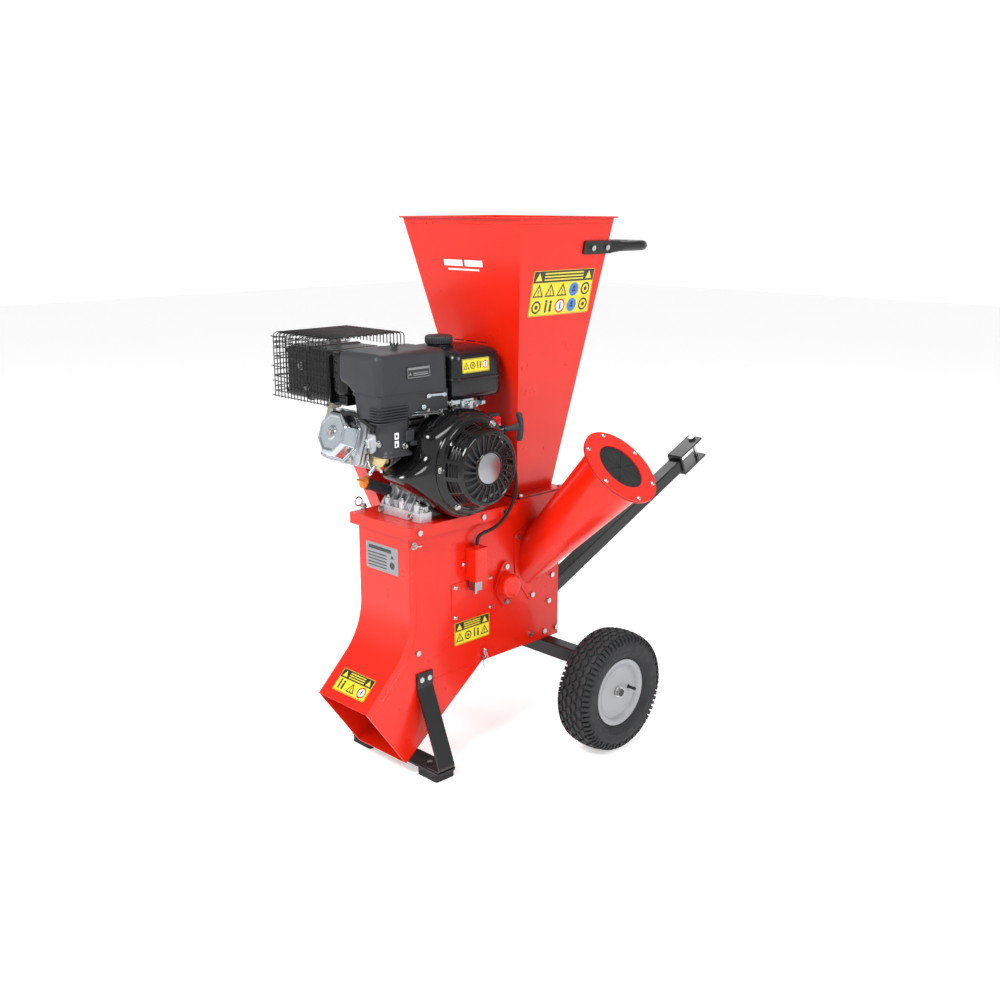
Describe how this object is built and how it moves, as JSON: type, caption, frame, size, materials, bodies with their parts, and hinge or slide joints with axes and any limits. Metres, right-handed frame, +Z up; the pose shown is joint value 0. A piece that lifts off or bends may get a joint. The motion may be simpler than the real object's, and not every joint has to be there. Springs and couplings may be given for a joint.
{
  "type": "wood chipper",
  "caption": "Petrol wood chipper on two wheels: square top hopper, round side chute, belt-driven rotor with knives, curved discharge duct, front legs and tow bar.",
  "frame": {"origin": "on the ground directly under the rotor shaft, in the middle plane between the side plates", "axes": "+X towards the branch chute side, +Y from the discharge duct towards the wheels and tow bar, +Z up"},
  "size_m": [0.7989, 1.4064, 1.335],
  "materials": {
    "red_paint": "gloss powder coat",
    "black_paint": "satin powder coat",
    "engine_black": "gloss enamel",
    "silver_paint": "satin enamel",
    "zinc": "bright zinc plate",
    "steel": "ground steel",
    "cast_alloy": "die-cast, as cast",
    "chrome": "chrome plate",
    "cast_iron": "machined",
    "black_plastic": "matte moulding",
    "tank_black": "gloss",
    "orange_plastic": "gloss",
    "red_plastic": "gloss",
    "rubber": "matte",
    "tyre": "matte, moulded tread"
  },
  "bodies": {
    "machine": {"front_sheet": "red_paint", "side_plate_right": "red_paint", "side_plate_left": "red_paint", "back_sheet": "red_paint", "engine_plate": "red_paint", "discharge_chute": "red_paint", "discharge_screen": "steel", "screen_pin": "zinc", "inspection_cover": "red_paint", "hopper": "red_paint", "hopper_gasket": "rubber", "handle": "black_paint", "branch_chute": "red_paint", "chute_curtain": "rubber", "chute_ring": "red_paint", "legs": "black_paint", "crossbar": "black_paint", "rubber_feet": "rubber", "axle": "black_paint", "tow_bar": "black_paint", "hitch_bracket": "black_paint", "bearing_flanges": "red_paint", "rotor_bearings": "steel", "bearing_cap": "red_paint", "drive_belts": "rubber", "belt_guard": "red_paint", "guard_back": "red_paint", "switch_box": "red_paint", "limit_switch": "chrome", "switch_lead": "rubber", "crankcase": "cast_alloy", "cylinder": "cast_alloy", "rocker_cover": "zinc", "muffler": "engine_black", "muffler_guard": "black_paint", "air_cleaner": "black_plastic", "carburettor": "cast_alloy", "fuel_tank": "tank_black", "cowl": "engine_black", "recoil_cover": "engine_black", "fasteners": "zinc", "screws": "zinc"},
    "rotor": {"rotor_shaft": "steel", "rotor_disc": "steel", "chipper_knives": "steel", "shredder_blades": "steel", "rotor_pulley": "cast_iron"},
    "clutch": {"clutch_drum": "cast_iron"},
    "crank": {"crankshaft": "steel", "flywheel_fan": "cast_alloy"},
    "wheel_right": {"tyre_right": "tyre", "rim_right": "silver_paint"},
    "wheel_left": {"tyre_left": "tyre", "rim_left": "silver_paint"},
    "cap": {"fuel_cap": "black_plastic"},
    "grip": {"pull_grip": "black_plastic"},
    "rocker": {"stop_switch": "red_plastic"},
    "throttle": {"throttle_lever": "zinc"},
    "choke": {"choke_lever": "zinc"},
    "oil_plug": {"dipstick": "orange_plastic"}
  },
  "joints": [
    {"name": "rotor_spin", "type": "hinge", "parent": "machine", "child": "rotor", "pos_m": [0, 0, 0.425], "axis": [1, 0, 0], "continuous": true},
    {"name": "clutch_spin", "type": "hinge", "parent": "machine", "child": "clutch", "pos_m": [-0.15, -0.157, 0.768], "axis": [1, 0, 0], "continuous": true},
    {"name": "crank_spin", "type": "hinge", "parent": "machine", "child": "crank", "pos_m": [0, -0.157, 0.768], "axis": [1, 0, 0], "continuous": true},
    {"name": "wheel_right_spin", "type": "hinge", "parent": "machine", "child": "wheel_right", "pos_m": [0.318, 0.16, 0.157], "axis": [1, 0, 0], "continuous": true},
    {"name": "wheel_left_spin", "type": "hinge", "parent": "machine", "child": "wheel_left", "pos_m": [-0.318, 0.16, 0.157], "axis": [1, 0, 0], "continuous": true},
    {"name": "fuel_cap_turn", "type": "hinge", "parent": "machine", "child": "cap", "pos_m": [0, -0.128, 1.05], "axis": [0, 0, 1], "range_deg": [0, 90]},
    {"name": "starter_pull", "type": "slide", "parent": "machine", "child": "grip", "axis": [0.2999, 0.9497, 0.09], "range_m": [0, 0.5], "stiffness_N_per_m": 20},
    {"name": "stop_switch_tilt", "type": "hinge", "parent": "machine", "child": "rocker", "pos_m": [0.106, -0.044, 0.851], "axis": [0, 1, 0], "range_deg": [-8, 8]},
    {"name": "throttle_turn", "type": "hinge", "parent": "machine", "child": "throttle", "pos_m": [0.085, -0.118, 0.9], "axis": [1, 0, 0], "range_deg": [-30, 5]},
    {"name": "choke_turn", "type": "hinge", "parent": "machine", "child": "choke", "pos_m": [0.06, -0.262, 0.912], "axis": [1, 0, 0], "range_deg": [0, 20]},
    {"name": "oil_plug_turn", "type": "hinge", "parent": "machine", "child": "oil_plug", "pos_m": [-0.06, -0.314, 0.715], "axis": [-0.2311, -0.8825, 0.4097], "range_deg": [0, 180]}
  ],
  "couplings": [
    {"joint": "clutch_spin", "follows": "rotor_spin", "ratio": 1.4}
  ]
}
